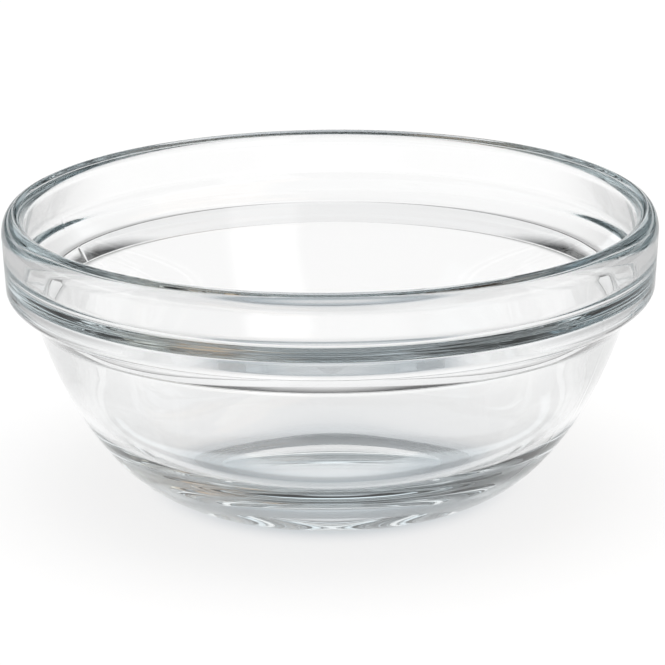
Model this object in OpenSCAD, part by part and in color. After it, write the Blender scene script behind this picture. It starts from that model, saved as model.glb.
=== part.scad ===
// Stackable pressed-glass bowl, all sizes in millimetres.
// The bowl stands on the XY plane and is a solid of revolution about Z.

/* [Bowl] */
// Diameter over the collar, at the lip
bowl_d = 140; // [110:1:200]
// Height from the table to the crown of the lip
bowl_h = 62; // [54:1:90]

/* [Collar and shoulder] */
// Height from the root of the shoulder to the crown of the lip
collar_h = 21.85; // [16:0.05:30]
// How much narrower the collar is at its foot, on the radius, so that it leaves the mould
collar_draft = 0.55; // [0:0.05:1.5]
// How far the shoulder steps out from the body
shoulder_w = 5.7; // [3:0.05:9]
// How much the underside of the shoulder climbs over that step
shoulder_rise = 4.95; // [2:0.05:7]
// Rounding where the shoulder turns up into the collar
shoulder_round_r = 2.6; // [0.5:0.1:4]
// Fillet at the root of the shoulder
shoulder_root_r = 2.7; // [0.3:0.1:4]

/* [Lip] */
// Width of the lip's rounding on the outside, from the crown
lip_outer_w = 2.7; // [1:0.05:2.9]
// Height of the lip's rounding on the outside
lip_outer_h = 4.4; // [1:0.05:6]
// Height of the lip's rounding on the inside
lip_inner_h = 3.45; // [1:0.05:6]

/* [Glass thickness] */
// Width across the lip, which swells a little as it is fire-polished
lip_wall = 4.7; // [3.8:0.05:6]
// Thickness of the collar at its foot
collar_wall = 3.9; // [3:0.05:6]
// Thickness of the shoulder, square to its underside
shoulder_wall = 7.25; // [4:0.05:8]
// Thickness of the body just under the shoulder
body_wall = 5; // [3:0.05:6]
// Thickness of the floor in the middle
floor_t = 5; // [3:0.1:9]

/* [Foot] */
// Outer diameter of the ring that the bowl stands on
foot_d = 60; // [45:1:76]
// Width of that ring
foot_ring_w = 4; // [1:0.1:8]
// Height of the hollow inside the ring
foot_hollow_h = 1; // [0.3:0.05:2.5]

/* [Inside] */
// How much steeper the ledge is than the shoulder's underside, in degrees
ledge_lean = 0.5; // [-6:0.1:10]
// Rounding where the collar runs down into the ledge
ledge_root_r = 3.4; // [0.3:0.1:4]
// Rounding of the ledge's edge, where it turns down into the bowl
ledge_edge_r = 4; // [0.3:0.1:8]

/* [Hidden] */
$fn = 180;

// Steepness of the body where it reaches the shoulder, outside and inside, in degrees from level
body_end_angle = 73;
inside_end_angle = 69.5;
// Pulls of the body curve, outside: along the foot, and down from the shoulder
outside_pull_shares = [0.452, 0.536];
// Pulls of the bowl curve, inside: along the floor, and down from the ledge
inside_pull_shares = [0.92, 0.715];
// Pulls of the hollow under the floor
hollow_pull_shares = [0.32, 0.43];
curve_steps = 36;
hollow_steps = 8;
corner_steps = 8;
lip_steps = 12;

bowl_r = bowl_d / 2;
root_z = bowl_h - collar_h;
collar_foot_r = bowl_r - collar_draft;
foot_r = foot_d / 2;
hollow_r = foot_r - foot_ring_w;
crown_r = bowl_r - lip_outer_w;
floor_z = foot_hollow_h + floor_t;

// Outer corners of the section, before they are rounded
body_way = [cos(body_end_angle), sin(body_end_angle)];
inside_way = [cos(inside_end_angle), sin(inside_end_angle)];
shoulder_root = [collar_foot_r - shoulder_w, root_z];
shoulder_corner = [collar_foot_r, root_z + shoulder_rise];
collar_top = [bowl_r, bowl_h - lip_outer_h];

// Inner corners: the ledge follows the shoulder's underside, and the walls start from it
shoulder_way = unit(shoulder_corner - shoulder_root);
ledge_angle = atan2(shoulder_way.y, shoulder_way.x) + ledge_lean;
ledge_way = [cos(ledge_angle), sin(ledge_angle)];
ledge_edge = crossing(
    shoulder_root + inward(body_way) * body_wall, body_way,
    shoulder_root + inward(shoulder_way) * shoulder_wall, shoulder_way);
ledge_root = crossing(
    ledge_edge, ledge_way,
    shoulder_corner - [collar_wall, 0], [0, 1]);
inner_top = [bowl_r - lip_wall, bowl_h - lip_inner_h];

function unit(v) = v / norm(v);

// The direction square to a line that climbs the outside, towards the axis
function inward(way) = [-way.y, way.x];

// Where two lines cross, each given by a point and a direction
function crossing(p, u, q, v) = p + u * cross(q - p, v) / cross(u, v);

// A cubic curve from p to q, pulled towards a and b
function curve(p, a, b, q, steps) = [
    for (i = [0:steps])
        let (t = i / steps, s = 1 - t)
            p * s ^ 3 + a * 3 * s ^ 2 * t + b * 3 * s * t ^ 2 + q * t ^ 3
];

// A corner rounded to a radius, as far as its two legs allow
function rounded(before, corner, after, r) =
    let (
        u = unit(before - corner),
        v = unit(after - corner),
        half = acos(u * v) / 2,
        leg = min(norm(before - corner), norm(after - corner)) / 2,
        round_r = min(r, leg * tan(half)),
        centre = corner + unit(u + v) * round_r / sin(half),
        start = corner + u * round_r / tan(half) - centre,
        turn = (180 - 2 * half) * sign(cross(v, u))
    )
    [
        for (i = [0:corner_steps])
            let (a = turn * i / corner_steps)
                centre + [start.x * cos(a) - start.y * sin(a), start.x * sin(a) + start.y * cos(a)]
    ];

// The body outside: level at the foot, steep under the shoulder
function body_outside() =
    let (
        foot = [foot_r, 0],
        along = [outside_pull_shares[0] * (shoulder_root.x - foot_r), 0],
        down = body_way / body_way.y * outside_pull_shares[1] * root_z
    )
    curve(foot, foot + along, shoulder_root - down, shoulder_root, curve_steps);

// The bowl inside, from the ledge down to the middle of the floor
function bowl_inside() =
    let (
        middle = [0, floor_z],
        along = [inside_pull_shares[0] * ledge_edge.x, 0],
        down = inside_way / inside_way.y * inside_pull_shares[1] * (ledge_edge.y - floor_z)
    )
    curve(ledge_edge, ledge_edge - down, middle + along, middle, curve_steps);

// The hollow under the floor, from its middle out to the ring
function hollow_underside() =
    let (
        middle = [0, foot_hollow_h],
        edge = [hollow_r, 0],
        along = [hollow_pull_shares[0] * hollow_r, 0],
        back = [hollow_pull_shares[1] * hollow_r, 0]
    )
    curve(middle, middle + along, edge - back, edge, hollow_steps);

// The lip: two quarter ellipses that meet on its crown
function lip() = [
    for (i = [0:lip_steps])
        let (a = 90 * i / lip_steps)
            [crown_r + lip_outer_w * cos(a), bowl_h - lip_outer_h * (1 - sin(a))],
    for (i = [1:lip_steps])
        let (a = 90 * i / lip_steps)
            [crown_r - (crown_r - inner_top.x) * sin(a), bowl_h - lip_inner_h * (1 - cos(a))]
];

// The points of a curve without its first or last one, where a rounded corner takes its place
function trimmed(points, first, last) = [for (i = [first:len(points) - 1 - last]) points[i]];

module section() {
    outside = body_outside();
    inside = bowl_inside();
    polygon(concat(
        hollow_underside(),
        trimmed(outside, 0, 2),
        rounded(outside[curve_steps - 2], shoulder_root, shoulder_corner, shoulder_root_r),
        rounded(shoulder_root, shoulder_corner, collar_top, shoulder_round_r),
        lip(),
        rounded(inner_top, ledge_root, ledge_edge, ledge_root_r),
        rounded(ledge_root, ledge_edge, inside[2], ledge_edge_r),
        trimmed(inside, 2, 0)
    ));
}

module bowl() {
    color("lightcyan") rotate_extrude() section();
}

bowl();
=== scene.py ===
# The looks of the pressed-glass bowl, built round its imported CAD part, and the table
# and light that it stands in. Metres throughout; the bowl stands on z = 0, and the
# photograph looks along +Y.
import math

import bpy
import numpy as np
from mathutils import Matrix, Vector


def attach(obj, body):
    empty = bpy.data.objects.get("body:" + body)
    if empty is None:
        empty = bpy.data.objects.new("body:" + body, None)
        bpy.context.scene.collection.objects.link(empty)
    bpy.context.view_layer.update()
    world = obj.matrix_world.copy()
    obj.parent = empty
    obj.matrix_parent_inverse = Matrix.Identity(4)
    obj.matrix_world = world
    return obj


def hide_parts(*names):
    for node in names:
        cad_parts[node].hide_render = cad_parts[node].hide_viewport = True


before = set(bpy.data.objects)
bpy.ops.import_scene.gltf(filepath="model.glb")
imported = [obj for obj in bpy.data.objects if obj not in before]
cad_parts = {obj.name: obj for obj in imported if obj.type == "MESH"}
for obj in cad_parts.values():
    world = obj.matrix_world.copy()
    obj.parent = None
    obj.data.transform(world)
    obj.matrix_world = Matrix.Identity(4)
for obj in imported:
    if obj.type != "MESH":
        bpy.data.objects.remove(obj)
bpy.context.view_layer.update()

# The photographer's camera: a long lens, 17 degrees above the table, turned by half a
# degree, and aimed a little above the middle of the bowl.
lens_px = 3200.56
picture_px = 665
camera_lift = math.radians(17.134)
camera_roll = math.radians(-0.478)
camera_distance = 0.69201
aim_height = 0.031
aim_right = -0.000310
aim_up = -0.002138

right = Vector((1, 0, 0))
forward = Vector((0, math.cos(camera_lift), -math.sin(camera_lift)))
up = right.cross(forward)
rolled_right = right * math.cos(camera_roll) + up * math.sin(camera_roll)
rolled_up = up * math.cos(camera_roll) - right * math.sin(camera_roll)

camera_data = bpy.data.cameras.new("photo_camera")
camera_data.sensor_width = 36
camera_data.lens = camera_data.sensor_width * lens_px / picture_px
camera_data.clip_start = 0.01
camera_data.clip_end = 100
camera = bpy.data.objects.new("photo_camera", camera_data)
bpy.context.scene.collection.objects.link(camera)
stand = Vector((0, 0, aim_height)) - (
    rolled_right * aim_right + rolled_up * aim_up + forward * camera_distance
)
turn = Matrix((rolled_right, rolled_up, -forward)).transposed()
camera.matrix_world = Matrix.Translation(stand) @ turn.to_4x4()
bpy.context.scene.camera = camera

# The bowl: one gob of clear soda-lime glass, pressed between a mould and a plunger,
# then fire-polished at the lip and tempered. Its section is drawn here as one line, from
# the middle of the underside, up the outside, over the lip and down the inside.
bowl_r = 0.070
bowl_h = 0.062
collar_h = 0.02185
collar_draft = 0.00055
shoulder_w = 0.0057
shoulder_rise = 0.00495
shoulder_round_r = 0.0026
shoulder_root_r = 0.0027
lip_outer_w = 0.0027
lip_outer_h = 0.0044
lip_inner_h = 0.00345
lip_wall = 0.0047
collar_wall = 0.0039
shoulder_wall = 0.00725
body_wall = 0.005
floor_t = 0.005
foot_r = 0.030
foot_ring_w = 0.004
foot_hollow_h = 0.001
ledge_lean = math.radians(0.5)
ledge_root_r = 0.0034
ledge_edge_r = 0.004
body_end = math.radians(73)
inside_end = math.radians(69.5)
outside_pulls = (0.452, 0.536)
inside_pulls = (0.92, 0.715)
hollow_pulls = (0.32, 0.43)
curve_steps = 34
hollow_steps = 8
ring_steps = 12
lip_steps = 10
hollow_corner_steps = 6
round_corner_steps = 8
seam_fade_at_lip = 0.004
seam_fade_at_foot = 0.002


def way(v):
    return v / np.linalg.norm(v)


def inward(v):
    return np.array((-v[1], v[0]))


def crossing(p, u, q, v):
    across = lambda a, b: a[0] * b[1] - a[1] * b[0]
    return p + u * across(q - p, v) / across(u, v)


def pressed_curve(p, a, b, q, steps):
    t = np.linspace(0, 1, steps + 1)[:, None]
    s = 1 - t
    return p * s**3 + a * 3 * s**2 * t + b * 3 * s * t**2 + q * t**3


def rounded_corner(before, corner, after, r, steps):
    u, v = way(before - corner), way(after - corner)
    half = math.acos(u @ v) / 2
    leg = min(np.linalg.norm(before - corner), np.linalg.norm(after - corner)) / 2
    r = min(r, leg * math.tan(half))
    centre = corner + way(u + v) * r / math.sin(half)
    start = corner + u * r / math.tan(half) - centre
    bend = (math.pi - 2 * half) * np.sign(v[0] * u[1] - v[1] * u[0])
    a = bend * np.linspace(0, 1, steps + 1)
    return centre + np.stack([
        start[0] * np.cos(a) - start[1] * np.sin(a),
        start[0] * np.sin(a) + start[1] * np.cos(a)], 1)


body_way = np.array((math.cos(body_end), math.sin(body_end)))
inside_way = np.array((math.cos(inside_end), math.sin(inside_end)))
root_z = bowl_h - collar_h
shoulder_root = np.array((bowl_r - collar_draft - shoulder_w, root_z))
shoulder_corner = np.array((bowl_r - collar_draft, root_z + shoulder_rise))
collar_top = np.array((bowl_r, bowl_h - lip_outer_h))
shoulder_way = way(shoulder_corner - shoulder_root)
ledge_edge = crossing(
    shoulder_root + inward(body_way) * body_wall, body_way,
    shoulder_root + inward(shoulder_way) * shoulder_wall, shoulder_way)
ledge_angle = math.atan2(shoulder_way[1], shoulder_way[0]) + ledge_lean
ledge_root = crossing(
    ledge_edge, np.array((math.cos(ledge_angle), math.sin(ledge_angle))),
    shoulder_corner - (collar_wall, 0), np.array((0, 1.0)))
inner_top = np.array((bowl_r - lip_wall, bowl_h - lip_inner_h))

foot = np.array((foot_r, 0))
outside = pressed_curve(
    foot, foot + (outside_pulls[0] * (shoulder_root[0] - foot_r), 0),
    shoulder_root - body_way / body_way[1] * outside_pulls[1] * root_z,
    shoulder_root, curve_steps)
middle = np.array((0, foot_hollow_h + floor_t))
inside = pressed_curve(
    ledge_edge,
    ledge_edge - inside_way / inside_way[1] * inside_pulls[1] * (ledge_edge[1] - middle[1]),
    middle + (inside_pulls[0] * ledge_edge[0], 0), middle, curve_steps)
hollow_r = foot_r - foot_ring_w
hollow = pressed_curve(
    np.array((0, foot_hollow_h)), np.array((hollow_pulls[0] * hollow_r, foot_hollow_h)),
    np.array(((1 - hollow_pulls[1]) * hollow_r, 0)), np.array((hollow_r, 0)), hollow_steps)
ring = np.linspace(hollow[-1], foot, ring_steps + 1)[1:-1]
crown_r = bowl_r - lip_outer_w
quarter = np.linspace(0, math.pi / 2, lip_steps + 1)
lip_out = np.stack([crown_r + lip_outer_w * np.cos(quarter),
                    bowl_h - lip_outer_h * (1 - np.sin(quarter))], 1)
lip_in = np.stack([crown_r - (crown_r - inner_top[0]) * np.sin(quarter),
                   bowl_h - lip_inner_h * (1 - np.cos(quarter))], 1)[1:]
parts = [
    (hollow, "under"),
    (ring, "ring"),
    (outside[:-2], "out"),
    (rounded_corner(outside[-3], shoulder_root, shoulder_corner,
                    shoulder_root_r, hollow_corner_steps), "out"),
    (rounded_corner(shoulder_root, shoulder_corner, collar_top,
                    shoulder_round_r, round_corner_steps), "out"),
    (lip_out, "out"),
    (lip_in, "in"),
    (rounded_corner(inner_top, ledge_root, ledge_edge,
                    ledge_root_r, hollow_corner_steps), "in"),
    (rounded_corner(ledge_root, ledge_edge, inside[2],
                    ledge_edge_r, round_corner_steps), "in"),
    (inside[2:], "in"),
]
line = np.concatenate([p for p, _ in parts])
side = np.concatenate([[s] * len(p) for p, s in parts])

section_mesh = bpy.data.meshes.new("bowl_section")
section_mesh.from_pydata(
    [(r, 0, z) for r, z in line], [(i, i + 1) for i in range(len(line) - 1)], [])


def mark_section(name, kind, field, values):
    marks = section_mesh.attributes.new(name, kind, "POINT")
    marks.data.foreach_set(field, values.astype(np.float32).ravel())


below_lip = np.clip((bowl_h - lip_outer_h - line[:, 1]) / seam_fade_at_lip, 0, 1)
above_foot = np.clip(line[:, 1] / seam_fade_at_foot, 0, 1)
mark_section("mould_side", "FLOAT", "value", below_lip * above_foot * (side == "out"))
across_ring = np.clip((line[:, 0] - hollow_r) / foot_ring_w, 0, 1)
two_rows = np.sin(2 * math.pi * across_ring) ** 2
mark_section("stipple_rows", "FLOAT", "value", np.where(side == "ring", two_rows, 0))
along = np.gradient(line, axis=0)
along /= np.linalg.norm(along, axis=1)[:, None]
out_way = np.stack([along[:, 1], np.zeros(len(line)), -along[:, 0]], 1)
out_way[0] = (0, 0, -1)
out_way[-1] = (0, 0, 1)
mark_section("facing", "FLOAT_VECTOR", "vector", out_way)
section_object = bpy.data.objects.new("bowl_section", section_mesh)
bpy.context.scene.collection.objects.link(section_object)

press = bpy.data.node_groups.new("press_bowl", "GeometryNodeTree")
for name, kind, way_in in (
    ("Section", "NodeSocketGeometry", "INPUT"),
    ("Steps round", "NodeSocketInt", "INPUT"),
    ("Mould parts", "NodeSocketInt", "INPUT"),
    ("First seam", "NodeSocketFloat", "INPUT"),
    ("Seam height", "NodeSocketFloat", "INPUT"),
    ("Seam width", "NodeSocketFloat", "INPUT"),
    ("Steps crowd to seams", "NodeSocketFloat", "INPUT"),
    ("Stipple count", "NodeSocketInt", "INPUT"),
    ("Stipple depth", "NodeSocketFloat", "INPUT"),
    ("Wave height", "NodeSocketFloat", "INPUT"),
    ("Wave size", "NodeSocketFloat", "INPUT"),
    ("Seed", "NodeSocketFloat", "INPUT"),
    ("Glass", "NodeSocketMaterial", "INPUT"),
    ("Bowl", "NodeSocketGeometry", "OUTPUT"),
):
    press.interface.new_socket(name, in_out=way_in, socket_type=kind)
gn, links = press.nodes, press.links
given = gn.new("NodeGroupInput").outputs


def maths_in(tree):
    """A function that adds one Math node to this tree and hands back its output."""
    def add(operation, *values):
        n = tree.nodes.new("ShaderNodeMath")
        n.operation = operation
        for socket, value in zip(n.inputs, values):
            if isinstance(value, bpy.types.NodeSocket):
                tree.links.new(value, socket)
            else:
                socket.default_value = value
        return n.outputs[0]
    return add


maths = maths_in(press)


def sampled(name, kind):
    """What the section's point at this place along it has under this name."""
    n = gn.new("GeometryNodeSampleIndex")
    n.data_type = kind
    links.new(given["Section"], n.inputs["Geometry"])
    if name == "position":
        read = gn.new("GeometryNodeInputPosition").outputs[0]
    else:
        named = gn.new("GeometryNodeInputNamedAttribute")
        named.data_type = kind
        named.inputs["Name"].default_value = name
        read = named.outputs["Attribute"]
    links.new(read, n.inputs["Value"])
    links.new(along_section, n.inputs["Index"])
    return n.outputs["Value"]


# A grid with one row of points for each step round, crowded towards the seams
size = gn.new("GeometryNodeAttributeDomainSize")
links.new(given["Section"], size.inputs["Geometry"])
section_points = size.outputs["Point Count"]
grid = gn.new("GeometryNodeMeshGrid")
links.new(maths("ADD", given["Steps round"], 1), grid.inputs["Vertices X"])
links.new(section_points, grid.inputs["Vertices Y"])
index = gn.new("GeometryNodeInputIndex").outputs[0]
along_section = maths("MODULO", index, section_points)
step = maths("FLOOR", maths("DIVIDE", maths("ADD", index, 0.5), section_points))
even = maths("DIVIDE", maths("MULTIPLY", step, 2 * math.pi), given["Steps round"])
seams = given["Mould parts"]
crowd = maths("SINE", maths("MULTIPLY", maths("SUBTRACT", even, given["First seam"]), seams))
angle = maths("SUBTRACT", even, maths(
    "MULTIPLY", crowd, maths("DIVIDE", given["Steps crowd to seams"], seams)))


def turned_round(vector):
    n = gn.new("ShaderNodeVectorRotate")
    n.rotation_type = "Z_AXIS"
    links.new(vector, n.inputs["Vector"])
    links.new(angle, n.inputs["Angle"])
    return n.outputs[0]


place = turned_round(sampled("position", "FLOAT_VECTOR"))
face = turned_round(sampled("facing", "FLOAT_VECTOR"))
flat = gn.new("ShaderNodeVectorMath")
flat.operation = "MULTIPLY"
flat.inputs[1].default_value = (1, 1, 0)
links.new(place, flat.inputs[0])
radius = gn.new("ShaderNodeVectorMath")
radius.operation = "LENGTH"
links.new(flat.outputs[0], radius.inputs[0])

# Seams stand up on the mould's side, the ring is dimpled, and a slow noise ripples it all
turned = maths(
    "MULTIPLY", maths("SUBTRACT", angle, given["First seam"]), maths("DIVIDE", seams, 2))
from_seam = maths(
    "MULTIPLY", maths("MULTIPLY", maths("SINE", turned), maths("DIVIDE", 2, seams)),
    radius.outputs["Value"])
near = maths("DIVIDE", from_seam, given["Seam width"])
ridge = maths("EXPONENT", maths("MULTIPLY", maths("MULTIPLY", near, near), -1))
seam = maths(
    "MULTIPLY", maths("MULTIPLY", ridge, given["Seam height"]), sampled("mould_side", "FLOAT"))
beat = maths(
    "MULTIPLY_ADD", maths("COSINE", maths("MULTIPLY", angle, given["Stipple count"])), 0.5, 0.5)
dimple = maths(
    "MULTIPLY", maths("MULTIPLY", beat, given["Stipple depth"]), sampled("stipple_rows", "FLOAT"))
noise = gn.new("ShaderNodeTexNoise")
noise.noise_dimensions = "4D"
noise.inputs["Detail"].default_value = 0
links.new(maths("DIVIDE", 1, given["Wave size"]), noise.inputs["Scale"])
links.new(given["Seed"], noise.inputs["W"])
links.new(place, noise.inputs["Vector"])
wave = maths("MULTIPLY", maths("SUBTRACT", noise.outputs["Fac"], 1), given["Wave height"])
lift = maths("SUBTRACT", maths("ADD", seam, wave), dimple)
push = gn.new("ShaderNodeVectorMath")
push.operation = "SCALE"
links.new(face, push.inputs[0])
links.new(lift, push.inputs["Scale"])
final = gn.new("ShaderNodeVectorMath")
final.operation = "ADD"
links.new(place, final.inputs[0])
links.new(push.outputs[0], final.inputs[1])

put = gn.new("GeometryNodeSetPosition")
links.new(grid.outputs["Mesh"], put.inputs["Geometry"])
links.new(final.outputs[0], put.inputs["Position"])
weld = gn.new("GeometryNodeMergeByDistance")
weld.inputs["Distance"].default_value = 1e-6
links.new(put.outputs[0], weld.inputs["Geometry"])
smooth = gn.new("GeometryNodeSetShadeSmooth")
links.new(weld.outputs[0], smooth.inputs["Geometry"])
real = gn.new("GeometryNodeRealizeInstances")
links.new(smooth.outputs[0], real.inputs["Geometry"])
dress = gn.new("GeometryNodeSetMaterial")
links.new(real.outputs[0], dress.inputs["Geometry"])
links.new(given["Glass"], dress.inputs["Material"])
result = gn.new("NodeGroupOutput")
links.new(dress.outputs[0], result.inputs["Bowl"])

# Clear glass, faintly blue in its depth, with the fine grain of the foot ring's underside
grain_r = foot_r - foot_ring_w / 2
grain_reach = 0.0034
grain_top = 0.00025
grain_roughness = 0.38
glass = bpy.data.materials.new("clear_pressed_glass")
glass.use_nodes = True
sn, sl = glass.node_tree.nodes, glass.node_tree.links
sn.clear()
shader = sn.new("ShaderNodeBsdfPrincipled")
shader.inputs["Base Color"].default_value = (1, 1, 1, 1)
shader.inputs["Transmission Weight"].default_value = 1
shader.inputs["IOR"].default_value = 1.52
in_place = sn.new("ShaderNodeSeparateXYZ")
sl.new(sn.new("ShaderNodeTexCoord").outputs["Object"], in_place.inputs[0])
glass_maths = maths_in(glass.node_tree)
out_from_axis = glass_maths("SQRT", glass_maths(
    "ADD", glass_maths("POWER", in_place.outputs["X"], 2),
    glass_maths("POWER", in_place.outputs["Y"], 2)))
on_ring = glass_maths("MULTIPLY", glass_maths("COMPARE", out_from_axis, grain_r, grain_reach),
                      glass_maths("LESS_THAN", in_place.outputs["Z"], grain_top))
sl.new(glass_maths("MULTIPLY", on_ring, grain_roughness), shader.inputs["Roughness"])
absorb = sn.new("ShaderNodeVolumeAbsorption")
absorb.inputs["Color"].default_value = (0.82, 0.90, 0.92, 1)
absorb.inputs["Density"].default_value = 7
out = sn.new("ShaderNodeOutputMaterial")
sl.new(shader.outputs[0], out.inputs["Surface"])
sl.new(absorb.outputs[0], out.inputs["Volume"])

modifier = section_object.modifiers.new("press", "NODES")
modifier.node_group = press
settings = {
    "Steps round": 640,
    "Mould parts": 2,
    "First seam": math.radians(-27),
    "Seam height": 0.00002,
    "Seam width": 0.0004,
    "Steps crowd to seams": 0.6,
    "Stipple count": 160,
    "Stipple depth": 0.00003,
    "Wave height": 0.000015,
    "Wave size": 0.03,
    "Seed": 3.0,
    "Glass": glass,
}
for socket in press.interface.items_tree:
    if socket.name in settings:
        modifier[socket.identifier] = settings[socket.name]
bpy.context.view_layer.update()
pressed = bpy.data.meshes.new_from_object(
    section_object.evaluated_get(bpy.context.evaluated_depsgraph_get()))
bpy.data.objects.remove(section_object)
section_marks = ("mould_side", "stipple_rows", "facing")
for name in [a.name for a in pressed.attributes if a.name in section_marks]:
    pressed.attributes.remove(pressed.attributes[name])
glass_bowl = bpy.data.objects.new("glass_bowl", pressed)
bpy.context.scene.collection.objects.link(glass_bowl)
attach(glass_bowl, "root")
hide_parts("bowl")

# The table: white paper under the bowl and far beyond it, matt, 0.1 mm below the foot. Camera and
# glass see it white, with a faint real shadow from the lamp and a painted shade under the foot: a
# blue-grey ring painted into its glow. Left and right it falls away into the dark of the studio,
# which only the glass sees: that draws its dark edges.
floor_reach = 20
floor_gap = 0.0001
paper_share = 0.16
near_glow = 1.02 - paper_share
whitens_from = 0.4
whitens_to = 1.4
dimming = ((0.07, 0.13, 0.6), (0.25, 0.32, 0.03))
# Painted shade under the foot: the paper's glow is darkened and tinted blue-grey by distance from
# the bowl's middle, darkest under the foot ring. It is not cast by any light.
painted_shade_reach = 0.05
painted_contact_shade = (
    (0.000, (0.84, 0.86, 0.87)),
    (0.010, (0.78, 0.80, 0.82)),
    (0.016, (0.62, 0.67, 0.70)),
    (0.022, (0.46, 0.52, 0.56)),
    (0.030, (0.44, 0.50, 0.54)),
    (0.035, (0.80, 0.82, 0.84)),
    (0.040, (1, 1, 1)),
)
corners = ((-1, -1), (1, -1), (1, 1), (-1, 1))
floor_mesh = bpy.data.meshes.new("white_table")
floor_mesh.from_pydata(
    [(x * floor_reach, y * floor_reach, -floor_gap) for x, y in corners], [], [(0, 1, 2, 3)])
white_table = bpy.data.objects.new("white_table", floor_mesh)
bpy.context.scene.collection.objects.link(white_table)
paper = bpy.data.materials.new("white_paper")
paper.use_nodes = True
pn, pl = paper.node_tree.nodes, paper.node_tree.links
pn.clear()
paper_maths = maths_in(paper.node_tree)


def fill_ramp(ramp, stops):
    for k, (at, colour) in enumerate(stops):
        stop = ramp.elements[k] if k < 2 else ramp.elements.new(at)
        stop.position = at
        stop.color = (*colour, 1)


matt = pn.new("ShaderNodeBsdfPrincipled")
matt.inputs["Base Color"].default_value = (paper_share, paper_share, paper_share, 1)
matt.inputs["Roughness"].default_value = 0.9
matt.inputs["Specular IOR Level"].default_value = 0
from_middle = pn.new("ShaderNodeTexCoord").outputs["Object"]
on_paper = pn.new("ShaderNodeSeparateXYZ")
pl.new(from_middle, on_paper.inputs[0])
aside_of_bowl = paper_maths("ABSOLUTE", on_paper.outputs["X"])
falls_away = 1
for still_full, dimmed_at, dimmed_to in dimming:
    fall = pn.new("ShaderNodeMapRange")
    fall.interpolation_type = "SMOOTHSTEP"
    pl.new(aside_of_bowl, fall.inputs["Value"])
    fall.inputs["From Min"].default_value = still_full
    fall.inputs["From Max"].default_value = dimmed_at
    fall.inputs["To Min"].default_value = 1
    fall.inputs["To Max"].default_value = dimmed_to
    falls_away = paper_maths("MULTIPLY", falls_away, fall.outputs["Result"])
reach = pn.new("ShaderNodeVectorMath")
reach.operation = "LENGTH"
pl.new(from_middle, reach.inputs[0])
# The painted contact shade: a ramp over distance from the middle that colours the glow
painted_shade_ramp = pn.new("ShaderNodeValToRGB")
painted_shade_ramp.color_ramp.interpolation = "B_SPLINE"
pl.new(paper_maths("DIVIDE", reach.outputs["Value"], painted_shade_reach), painted_shade_ramp.inputs[0])
fill_ramp(painted_shade_ramp.color_ramp, [(at / painted_shade_reach, colour) for at, colour in painted_contact_shade])
path = pn.new("ShaderNodeLightPath").outputs
by_glass = paper_maths("MAXIMUM", path["Is Transmission Ray"], path["Is Glossy Ray"])
by_camera_or_glass = paper_maths("MAXIMUM", path["Is Camera Ray"], by_glass)
far_white = pn.new("ShaderNodeMapRange")
pl.new(reach.outputs["Value"], far_white.inputs["Value"])
far_white.inputs["From Min"].default_value = whitens_from
far_white.inputs["From Max"].default_value = whitens_to
far_white.inputs["To Min"].default_value = near_glow
far_white.inputs["To Max"].default_value = 1
# The glow carries the painted shade, so camera and glass see the paper darker under the foot
glow = pn.new("ShaderNodeEmission")
pl.new(painted_shade_ramp.outputs["Color"], glow.inputs["Color"])
pl.new(paper_maths("MULTIPLY", by_camera_or_glass, far_white.outputs["Result"]),
       glow.inputs["Strength"])
both = pn.new("ShaderNodeAddShader")
pl.new(matt.outputs[0], both.inputs[0])
pl.new(glow.outputs[0], both.inputs[1])
dark = pn.new("ShaderNodeEmission")
dark.inputs["Strength"].default_value = 0
dimmed = pn.new("ShaderNodeMixShader")
pl.new(paper_maths("MULTIPLY", by_glass, paper_maths("SUBTRACT", 1, falls_away)),
       dimmed.inputs[0])
pl.new(both.outputs[0], dimmed.inputs[1])
pl.new(dark.outputs[0], dimmed.inputs[2])
paper_out = pn.new("ShaderNodeOutputMaterial")
pl.new(dimmed.outputs[0], paper_out.inputs["Surface"])
floor_mesh.materials.append(paper)

# The light: a dim studio round the bowl, white along the horizon, with soft panels that the
# glass mirrors and bends at its edges. One round lamp straight overhead lights the floor and is
# hidden from the glass, where it would wash out the dark bands of the shoulder.
lamp_data = bpy.data.lights.new("overhead_lamp", "AREA")
lamp_data.shape = "DISK"
lamp_data.size = 1.2
lamp_data.energy = 15
overhead_lamp = bpy.data.objects.new("overhead_lamp", lamp_data)
bpy.context.scene.collection.objects.link(overhead_lamp)
overhead_lamp.location = (0, 0, 1.1)
overhead_lamp.visible_glossy = False
overhead_lamp.visible_transmission = False

wall_levels = (
    (math.sin(math.radians(5.7)), (0.95, 0.95, 0.95)),
    (math.sin(math.radians(6.7)), (0.015, 0.015, 0.015)),
)
# Each panel's colour, strength, azimuth, elevation, half width, half height and fade
panels = (
    ((0.92, 1.0, 1.04), 1.1, 354, 19, 26, 3.2, 0.04),
    ((0.95, 1.0, 1.05), 0.6, 12, 42, 28, 8, 0.06),
    ((1.0, 1.0, 1.0), 1.0, 150, 26, 14, 24, 0.12),
    ((1.1, 1.0, 0.85), 1.0, 105, 55, 20, 5, 0.05),
    ((0.8, 1.0, 1.1), 0.5, 252, 31, 16, 6, 0.08),
    ((1.0, 0.68, 0.45), 0.7, 110, 67, 32, 7, 0.08),
)
studio = bpy.data.worlds.new("dim_studio")
bpy.context.scene.world = studio
studio.use_nodes = True
wn, wl = studio.node_tree.nodes, studio.node_tree.links
wn.clear()
look = wn.new("ShaderNodeTexCoord").outputs["Generated"]
studio_maths = maths_in(studio.node_tree)


def along_direction(direction):
    n = wn.new("ShaderNodeVectorMath")
    n.operation = "DOT_PRODUCT"
    n.inputs[1].default_value = direction
    wl.new(look, n.inputs[0])
    return n.outputs["Value"]


def soft_edge(distance, edge, fade):
    n = wn.new("ShaderNodeMapRange")
    n.interpolation_type = "SMOOTHSTEP"
    wl.new(distance, n.inputs["Value"])
    n.inputs["From Min"].default_value = edge + fade / 2
    n.inputs["From Max"].default_value = edge - fade / 2
    return n.outputs["Result"]


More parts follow.
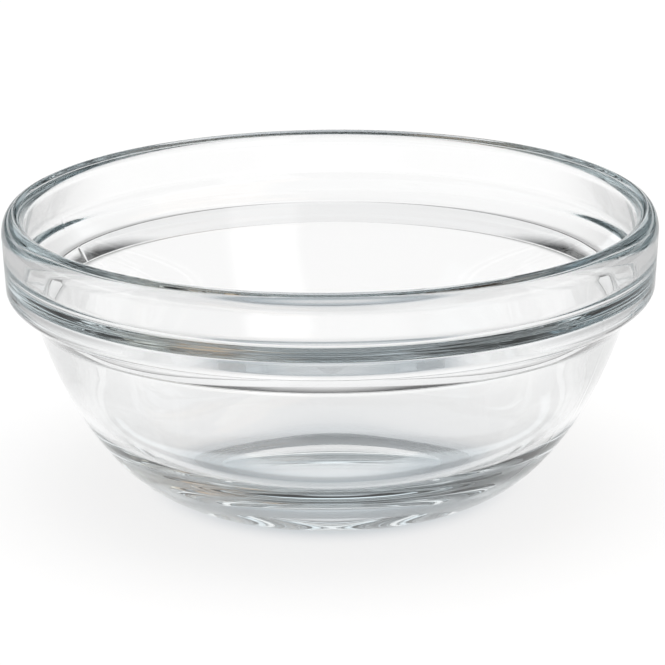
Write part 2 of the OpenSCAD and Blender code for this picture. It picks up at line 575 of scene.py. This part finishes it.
def softbox_over(behind, colour, strength, azimuth, elevation, wide, tall, fade):
    """Lays a soft panel over what is seen behind it. Azimuth 0 is behind the bowl and 90 to
    its right, and wide and tall are the panel's half angles, all in degrees."""
    az, el = math.radians(azimuth), math.radians(elevation)
    ahead = Vector((math.sin(az) * math.cos(el), math.cos(az) * math.cos(el), math.sin(el)))
    aside = Vector((math.cos(az), -math.sin(az), 0))
    above = aside.cross(ahead)
    front = along_direction(ahead)
    u = studio_maths("ABSOLUTE", studio_maths("DIVIDE", along_direction(aside), front))
    v = studio_maths("ABSOLUTE", studio_maths("DIVIDE", along_direction(above), front))
    inside_u = soft_edge(u, math.tan(math.radians(wide)), fade)
    inside_v = soft_edge(v, math.tan(math.radians(tall)), fade)
    facing_it = studio_maths("GREATER_THAN", front, 0)
    panel = studio_maths("MULTIPLY", studio_maths("MULTIPLY", inside_u, inside_v), facing_it)
    lit = wn.new("ShaderNodeMix")
    lit.data_type = "RGBA"
    wl.new(panel, lit.inputs["Factor"])
    wl.new(behind, lit.inputs["A"])
    lit.inputs["B"].default_value = (*(c * strength for c in colour), 1)
    return lit.outputs["Result"]


walls = wn.new("ShaderNodeValToRGB")
wl.new(along_direction((0, 0, 1)), walls.inputs[0])
fill_ramp(walls.color_ramp, wall_levels)
seen_by_glass = walls.outputs["Color"]
for panel in panels:
    seen_by_glass = softbox_over(seen_by_glass, *panel)
backdrop = wn.new("ShaderNodeMix")
backdrop.data_type = "RGBA"
wl.new(wn.new("ShaderNodeLightPath").outputs["Is Camera Ray"], backdrop.inputs["Factor"])
wl.new(seen_by_glass, backdrop.inputs["A"])
backdrop.inputs["B"].default_value = (1, 1, 1, 1)
back = wn.new("ShaderNodeBackground")
wl.new(backdrop.outputs["Result"], back.inputs["Color"])
world_out = wn.new("ShaderNodeOutputWorld")
wl.new(back.outputs[0], world_out.inputs["Surface"])

# Light crosses the glass many times before it leaves it, so it may bounce often
glass_bounces = 64
scene = bpy.context.scene
scene.view_settings.view_transform = "Standard"
scene.cycles.max_bounces = glass_bounces
scene.cycles.transmission_bounces = glass_bounces
scene.cycles.glossy_bounces = glass_bounces
